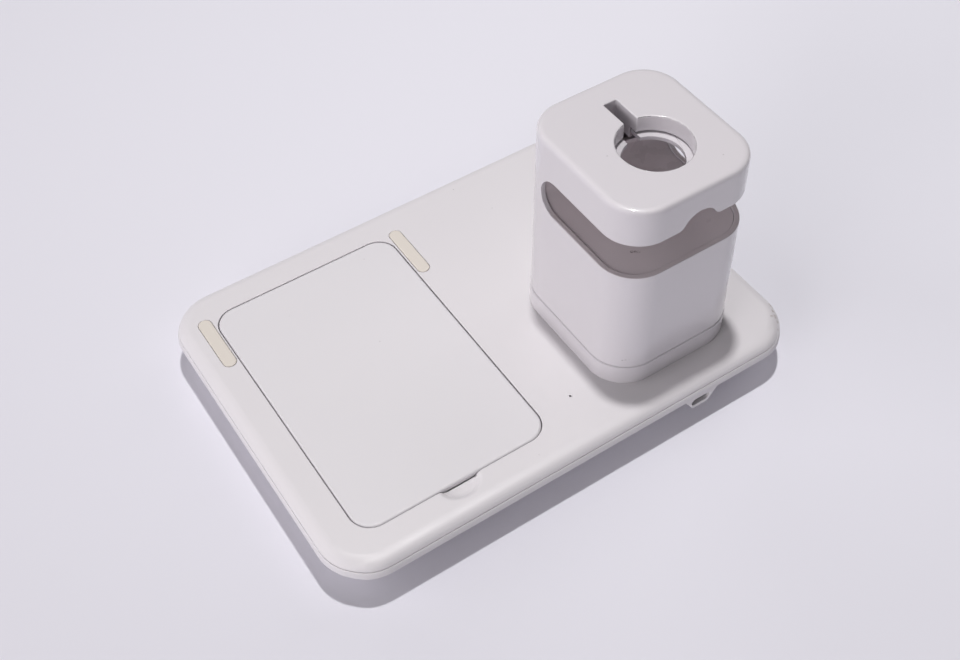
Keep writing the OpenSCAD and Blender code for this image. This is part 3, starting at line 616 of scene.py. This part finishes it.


# %% Give the cut faces of the slots a duller finish, and the deep wall ends painted shade
counts = []
for material, is_dull_or_painted_shade in ((liner_finish, is_slot_floor), (painted_shade_finish, is_cable_end)):
    soft_tower.data.materials.append(material)
    dull_or_painted_shade_faces = [face for face in soft_tower.data.polygons if is_dull_or_painted_shade(face)]
    for face in dull_or_painted_shade_faces:
        face.material_index = len(soft_tower.data.materials) - 1
    counts.append(len(dull_or_painted_shade_faces))
print("cut faces of the slot, end faces under the cap:", counts)

# %% [markdown]
# ## Floor and light
# The object stands on a pale sheet under one lamp nearly overhead, a little behind and to the right,
# with broad soft light from all round. The floor is a wide plane that keeps the shadow of the tray, and its
# colour is painted a little paler to the right and away: painted light, for the light falling off across the
# sheet. The lamp is an area light: its size sets how soft the shadow's edge is. Four large discs of light
# stand for the window and the cards round the table, and they are kept out of the gloss, where they would
# show as discs.

# %% Pale floor
floor_size = 6
sheet_turned = math.radians(70)
sheet_near = -0.2
sheet_away = 0.4
# Painted light: the sheet's colour runs from the dim tone to the bright one, standing in for the light
# falling off across it.
sheet_painted_dim = (0.745, 0.735, 0.795)
sheet_painted_bright = (0.89, 0.885, 0.955)

bpy.ops.object.select_all(action="DESELECT")
bpy.ops.mesh.primitive_plane_add(size=floor_size, location=(0, 0, 0))
floor = bpy.context.active_object
floor.name = "floor"
floor_finish = new_finish("pale sheet", sheet_painted_dim, roughness=0.9, specular=0.1)
floor.data.materials.append(floor_finish)
print("floor covers", floor.dimensions.x, "m")

# %% Painted light: the sheet is painted paler across the picture
sheet_place = add_node(floor_finish, "ShaderNodeTexCoord")
sheet_turn = add_node(floor_finish, "ShaderNodeMapping")
sheet_turn.inputs["Rotation"].default_value = (0, 0, sheet_turned)
sheet_along = add_node(floor_finish, "ShaderNodeSeparateXYZ")
join(floor_finish, sheet_place.outputs["Object"], sheet_turn.inputs["Vector"])
join(floor_finish, sheet_turn.outputs["Vector"], sheet_along.inputs["Vector"])
painted_light_fall = add_range(floor_finish, sheet_along.outputs["Y"], sheet_near, sheet_away)
painted_light_tone = mix_colours(floor_finish, painted_light_fall, sheet_painted_dim, sheet_painted_bright)
join(floor_finish, painted_light_tone, shader_of(floor_finish).inputs["Base Color"])
print("sheet's tones:", sheet_painted_dim, "to", sheet_painted_bright)

# %% [markdown]
# ## A pale room
# Seen from low down, the floor would end at a dark horizon. So the sheet fades into the colour of a pale room
# well away from the object, and the world shows the same colour. Both do so for the camera's own rays alone,
# so that the room adds no light to the object.

# %% The sheet fades into the room
room_pale = (0.76, 0.755, 0.815, 1)
fade_start = 0.55
fade_end = 1.5


def show_to_camera(owner, lit, seen, output, amount=None):
    rays = add_node(owner, "ShaderNodeLightPath").outputs["Is Camera Ray"]
    if amount:
        share = add_node(owner, "ShaderNodeMath", operation="MULTIPLY")
        join(owner, amount, share.inputs[0])
        join(owner, rays, share.inputs[1])
        rays = share.outputs["Value"]
    mix = add_node(owner, "ShaderNodeMixShader")
    join(owner, rays, mix.inputs["Fac"])
    join(owner, lit, mix.inputs[1])
    join(owner, seen, mix.inputs[2])
    join(owner, mix.outputs["Shader"], owner.node_tree.nodes[output].inputs["Surface"])


room_glow = add_node(floor_finish, "ShaderNodeEmission")
room_glow.inputs["Color"].default_value = room_pale
sheet_far = add_node(floor_finish, "ShaderNodeVectorMath", operation="LENGTH")
join(floor_finish, sheet_place.outputs["Object"], sheet_far.inputs[0])
sheet_fade = add_range(floor_finish, sheet_far.outputs["Value"], fade_start, fade_end,
                       interpolation_type="SMOOTHSTEP")
show_to_camera(floor_finish, shader_of(floor_finish).outputs["BSDF"], room_glow.outputs["Emission"],
               "Material Output", sheet_fade)
print("sheet fades from", fade_start, "to", fade_end, "m")


# %% Lamps
small_lamp = 0.5


def add_lamp(name, place, size, power, colour):
    data = bpy.data.lights.new(name, "AREA")
    data.shape = "DISK"
    data.size = size
    data.energy = power
    data.color = colour
    lamp = bpy.data.objects.new(name, data)
    bpy.context.scene.collection.objects.link(lamp)
    lamp.location = place
    lamp.rotation_euler = Vector(place).to_track_quat("Z", "Y").to_euler()
    lamp.visible_glossy = size < small_lamp
    print(name, "is", size, "m wide and gives", power, "W")


add_lamp("overhead lamp", (0.086, 0.084, 1.21), size=0.06, power=8.2, colour=(1, 0.99, 0.985))
add_lamp("left window", (-2.2, 0.8, 1.4), size=2.0, power=15, colour=(1, 0.98, 1))
add_lamp("near left card", (-1.7, -0.6, 0.6), size=1.2, power=16, colour=(1, 0.97, 0.985))
add_lamp("right card", (2.2, 0.6, 1.4), size=2.0, power=9.5, colour=(1, 0.97, 1))
add_lamp("far card", (0.2, 2.4, 1.2), size=2.0, power=6.5, colour=(1, 0.97, 1))

# %% Surrounding light
room_strength = 0.08
world = bpy.data.worlds.new("soft room")
bpy.context.scene.world = world
world.use_nodes = True
room_light = world.node_tree.nodes["Background"]
room_light.inputs["Color"].default_value = (1, 0.97, 0.99, 1)
room_light.inputs["Strength"].default_value = room_strength
seen_room = add_node(world, "ShaderNodeBackground")
seen_room.inputs["Color"].default_value = room_pale
show_to_camera(world, room_light.outputs["Background"], seen_room.outputs["Background"], "World Output")
bpy.context.scene.view_settings.view_transform = "Standard"
print("surrounding light", room_strength)
